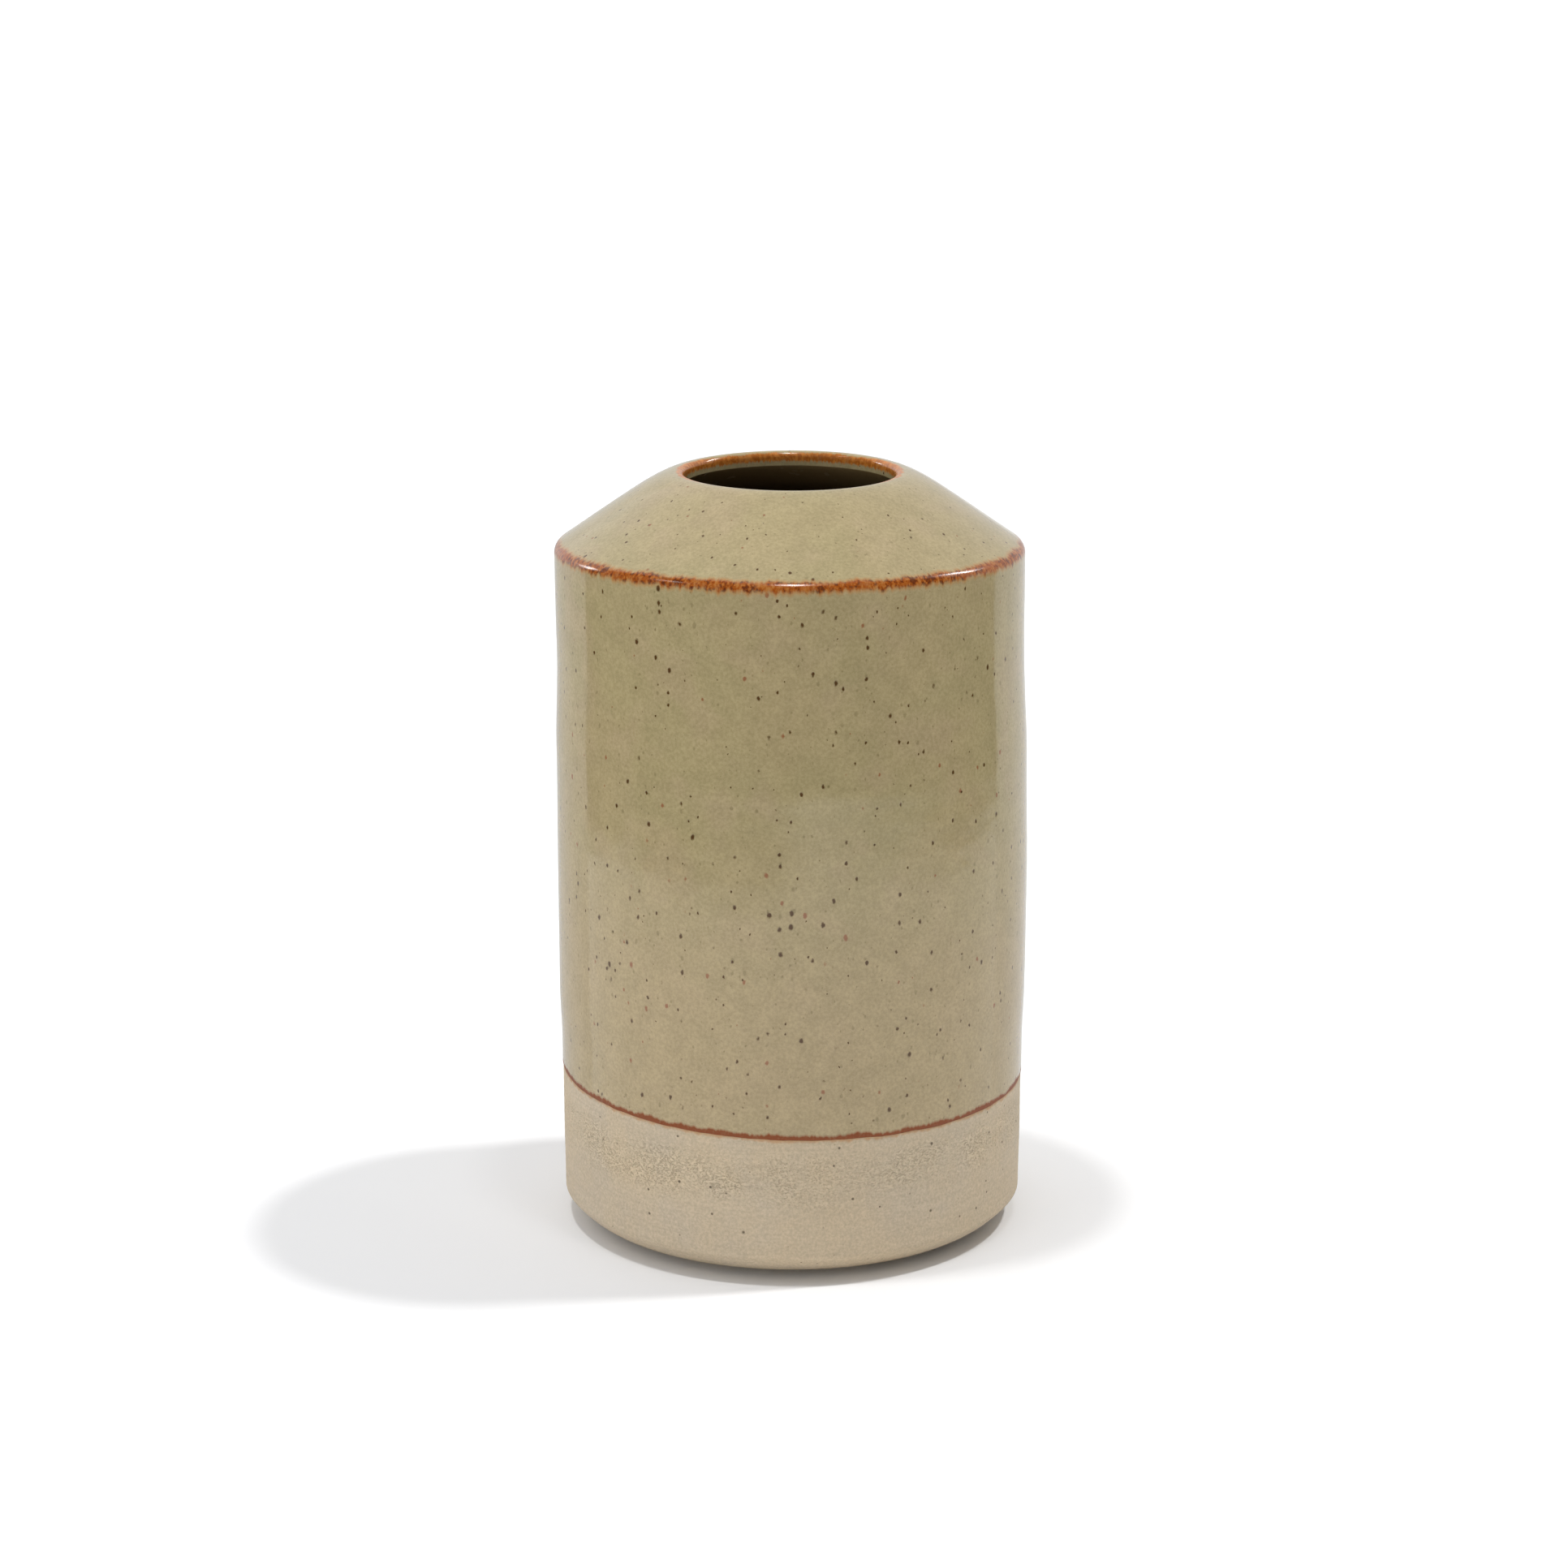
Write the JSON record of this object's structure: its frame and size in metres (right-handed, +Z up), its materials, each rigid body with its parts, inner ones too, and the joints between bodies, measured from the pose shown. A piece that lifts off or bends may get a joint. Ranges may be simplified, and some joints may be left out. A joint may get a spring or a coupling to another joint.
{
  "type": "ceramic bud vase",
  "caption": "Straight stoneware vase with a conical shoulder, a wide low mouth, a glossy speckled glaze and a bare chamfered foot.",
  "frame": {"origin": "centre of the foot, in the plane that the vase stands on", "axes": "+Z up along the vase's turning axis; +X towards the side where the glaze line runs lowest; +Y away from the viewer of the front"},
  "size_m": [0.0928, 0.0928, 0.1505],
  "materials": {
    "bare_stoneware": "matte unglazed speckled clay",
    "sage_glaze": "glossy sage-beige glaze with iron speckles, breaking rust-brown at edges",
    "liner_glaze": "glossy dark olive-brown liner glaze"
  },
  "bodies": {
    "root": {"stoneware_body": "bare_stoneware", "outer_glaze": "sage_glaze", "inner_glaze": "liner_glaze"}
  },
  "joints": []
}
